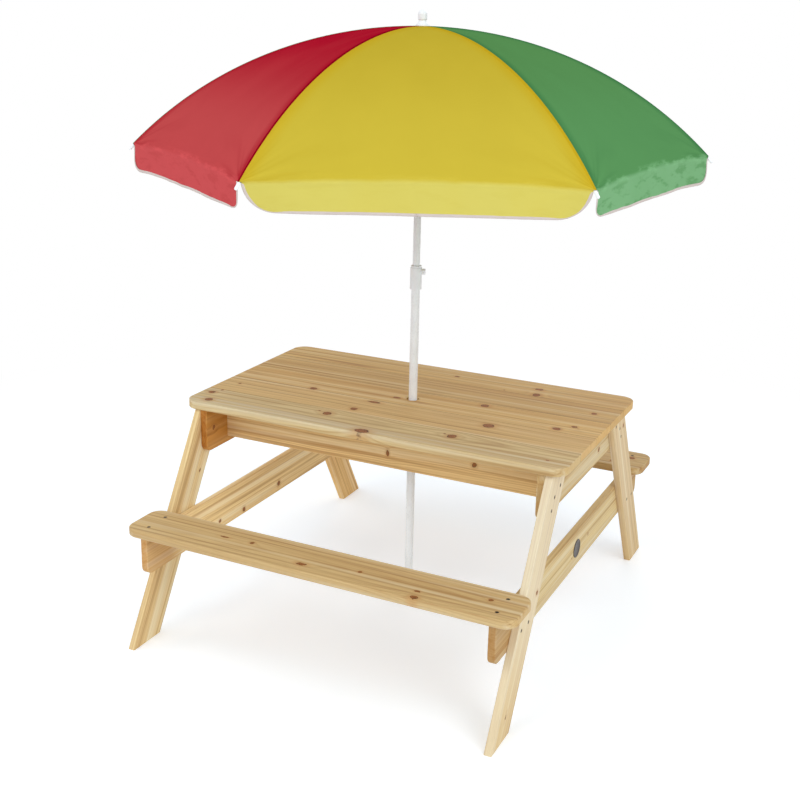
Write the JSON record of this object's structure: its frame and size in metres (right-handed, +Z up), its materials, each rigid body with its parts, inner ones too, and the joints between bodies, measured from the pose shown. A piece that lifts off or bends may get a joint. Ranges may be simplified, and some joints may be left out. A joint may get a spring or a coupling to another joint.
{
  "type": "kids garden table with parasol",
  "caption": "Small A-frame wooden picnic table for children with two benches and a folding six-sided parasol whose pole stands through the tabletop.",
  "frame": {"origin": "on the ground under the centre of the tabletop, on the parasol pole's axis", "axes": "+Z up, +X right along the benches, -Y the front bench"},
  "size_m": [1.1312, 1.2368, 1.33],
  "materials": {
    "pine": "bare sanded pine with knots",
    "beech": "bare",
    "screw_steel": "zinc plated, dull",
    "white_plastic": "moulded, slightly glossy",
    "white_tube": "white powder coat",
    "wire_steel": "bright wire",
    "white_steel": "white powder coat",
    "cloth_red": "woven polyester",
    "cloth_yellow": "woven polyester",
    "cloth_green": "woven polyester"
  },
  "bodies": {
    "table": {"tabletop_board_1": "pine", "tabletop_board_2": "pine", "tabletop_board_3": "pine", "tabletop_board_4": "pine", "tabletop_board_5": "pine", "left_cleat": "pine", "right_cleat": "pine", "front_apron": "pine", "rear_apron": "pine", "front_left_leg": "pine", "front_right_leg": "pine", "rear_left_leg": "pine", "rear_right_leg": "pine", "left_seat_bearer": "pine", "right_seat_bearer": "pine", "front_bench": "pine", "rear_bench": "pine", "tabletop_dowels": "beech", "apron_dowels": "beech", "leg_screws": "screw_steel", "bearer_screws": "screw_steel", "bench_screws": "screw_steel"},
    "foot": {"pole_foot": "white_plastic"},
    "lower_pole": {"lower_pole": "white_tube", "collar": "white_plastic"},
    "thumbscrew": {"thumbscrew": "white_plastic"},
    "upper_pole": {"upper_pole": "white_tube", "crown": "white_plastic", "crown_wire": "wire_steel", "finial": "white_plastic", "runner_catch": "wire_steel"},
    "runner": {"runner": "white_plastic"},
    "rib_1": {"rib_1": "white_steel", "rib_cap_1": "white_plastic", "canopy_at_rib_1": "cloth_red"},
    "rib_2": {"rib_2": "white_steel", "rib_cap_2": "white_plastic", "canopy_at_rib_2": "cloth_yellow"},
    "rib_3": {"rib_3": "white_steel", "rib_cap_3": "white_plastic", "canopy_at_rib_3": "cloth_green"},
    "rib_4": {"rib_4": "white_steel", "rib_cap_4": "white_plastic", "canopy_at_rib_4": "cloth_red"},
    "rib_5": {"rib_5": "white_steel", "rib_cap_5": "white_plastic", "canopy_at_rib_5": "cloth_yellow"},
    "rib_6": {"rib_6": "white_steel", "rib_cap_6": "white_plastic", "canopy_at_rib_6": "cloth_green"},
    "stretcher_1": {"stretcher_1": "white_steel"},
    "stretcher_2": {"stretcher_2": "white_steel"},
    "stretcher_3": {"stretcher_3": "white_steel"},
    "stretcher_4": {"stretcher_4": "white_steel"},
    "stretcher_5": {"stretcher_5": "white_steel"},
    "stretcher_6": {"stretcher_6": "white_steel"}
  },
  "joints": [
    {"name": "parasol_lift", "type": "slide", "parent": "table", "child": "foot", "axis": [0, 0, 1], "range_m": [0, 0.56]},
    {"name": "parasol_turn", "type": "hinge", "parent": "foot", "child": "lower_pole", "pos_m": [0, 0, 0.004], "axis": [0, 0, 1], "continuous": true},
    {"name": "thumbscrew_turn", "type": "hinge", "parent": "lower_pole", "child": "thumbscrew", "pos_m": [0, 0, 0.781], "axis": [0.9659, 0.2588, 0], "range_deg": [0, 540]},
    {"name": "pole_height", "type": "slide", "parent": "lower_pole", "child": "upper_pole", "axis": [0, 0, 1], "range_m": [-0.045, 0.15]},
    {"name": "canopy_fold", "type": "slide", "parent": "upper_pole", "child": "runner", "axis": [0, 0, -1], "range_m": [0, 0.25734], "deforming": ["canopy_at_rib_1", "canopy_at_rib_2", "canopy_at_rib_3", "canopy_at_rib_4", "canopy_at_rib_5", "canopy_at_rib_6", "runner_catch"]},
    {"name": "rib_1_hinge", "type": "hinge", "parent": "upper_pole", "child": "rib_1", "pos_m": [0.01456, 0.00664, 1.288], "axis": [-0.4147, 0.91, 0], "range_deg": [0, 62.05]},
    {"name": "rib_2_hinge", "type": "hinge", "parent": "upper_pole", "child": "rib_2", "pos_m": [0.00153, 0.01593, 1.288], "axis": [-0.9954, 0.0958, 0], "range_deg": [0, 62.05]},
    {"name": "rib_3_hinge", "type": "hinge", "parent": "upper_pole", "child": "rib_3", "pos_m": [-0.01303, 0.00929, 1.288], "axis": [-0.5807, -0.8141, 0], "range_deg": [0, 62.05]},
    {"name": "rib_4_hinge", "type": "hinge", "parent": "upper_pole", "child": "rib_4", "pos_m": [-0.01456, -0.00664, 1.288], "axis": [0.4147, -0.91, 0], "range_deg": [0, 62.05]},
    {"name": "rib_5_hinge", "type": "hinge", "parent": "upper_pole", "child": "rib_5", "pos_m": [-0.00153, -0.01593, 1.288], "axis": [0.9954, -0.0958, 0], "range_deg": [0, 62.05]},
    {"name": "rib_6_hinge", "type": "hinge", "parent": "upper_pole", "child": "rib_6", "pos_m": [0.01303, -0.00929, 1.288], "axis": [0.5807, 0.8141, 0], "range_deg": [0, 62.05]},
    {"name": "stretcher_1_hinge", "type": "hinge", "parent": "rib_1", "child": "stretcher_1", "pos_m": [0.19294, 0.08793, 1.25871], "axis": [-0.4147, 0.91, 0], "range_deg": [-103.72, 0]},
    {"name": "stretcher_2_hinge", "type": "hinge", "parent": "rib_2", "child": "stretcher_2", "pos_m": [0.02032, 0.21105, 1.25871], "axis": [-0.9954, 0.0958, 0], "range_deg": [-103.72, 0]},
    {"name": "stretcher_3_hinge", "type": "hinge", "parent": "rib_3", "child": "stretcher_3", "pos_m": [-0.17262, 0.12313, 1.25871], "axis": [-0.5807, -0.8141, 0], "range_deg": [-103.72, 0]},
    {"name": "stretcher_4_hinge", "type": "hinge", "parent": "rib_4", "child": "stretcher_4", "pos_m": [-0.19294, -0.08793, 1.25871], "axis": [0.4147, -0.91, 0], "range_deg": [-103.72, 0]},
    {"name": "stretcher_5_hinge", "type": "hinge", "parent": "rib_5", "child": "stretcher_5", "pos_m": [-0.02032, -0.21105, 1.25871], "axis": [0.9954, -0.0958, 0], "range_deg": [-103.72, 0]},
    {"name": "stretcher_6_hinge", "type": "hinge", "parent": "rib_6", "child": "stretcher_6", "pos_m": [0.17262, -0.12313, 1.25871], "axis": [0.5807, 0.8141, 0], "range_deg": [-103.72, 0]}
  ],
  "couplings": [
    {"joint": "rib_1_hinge", "follows": "canopy_fold", "rad_per_m": 4.205},
    {"joint": "rib_2_hinge", "follows": "canopy_fold", "rad_per_m": 4.205},
    {"joint": "rib_3_hinge", "follows": "canopy_fold", "rad_per_m": 4.205},
    {"joint": "rib_4_hinge", "follows": "canopy_fold", "rad_per_m": 4.205},
    {"joint": "rib_5_hinge", "follows": "canopy_fold", "rad_per_m": 4.205},
    {"joint": "rib_6_hinge", "follows": "canopy_fold", "rad_per_m": 4.205},
    {"joint": "stretcher_1_hinge", "follows": "canopy_fold", "rad_per_m": -7.0312},
    {"joint": "stretcher_2_hinge", "follows": "canopy_fold", "rad_per_m": -7.0312},
    {"joint": "stretcher_3_hinge", "follows": "canopy_fold", "rad_per_m": -7.0312},
    {"joint": "stretcher_4_hinge", "follows": "canopy_fold", "rad_per_m": -7.0312},
    {"joint": "stretcher_5_hinge", "follows": "canopy_fold", "rad_per_m": -7.0312},
    {"joint": "stretcher_6_hinge", "follows": "canopy_fold", "rad_per_m": -7.0312}
  ]
}
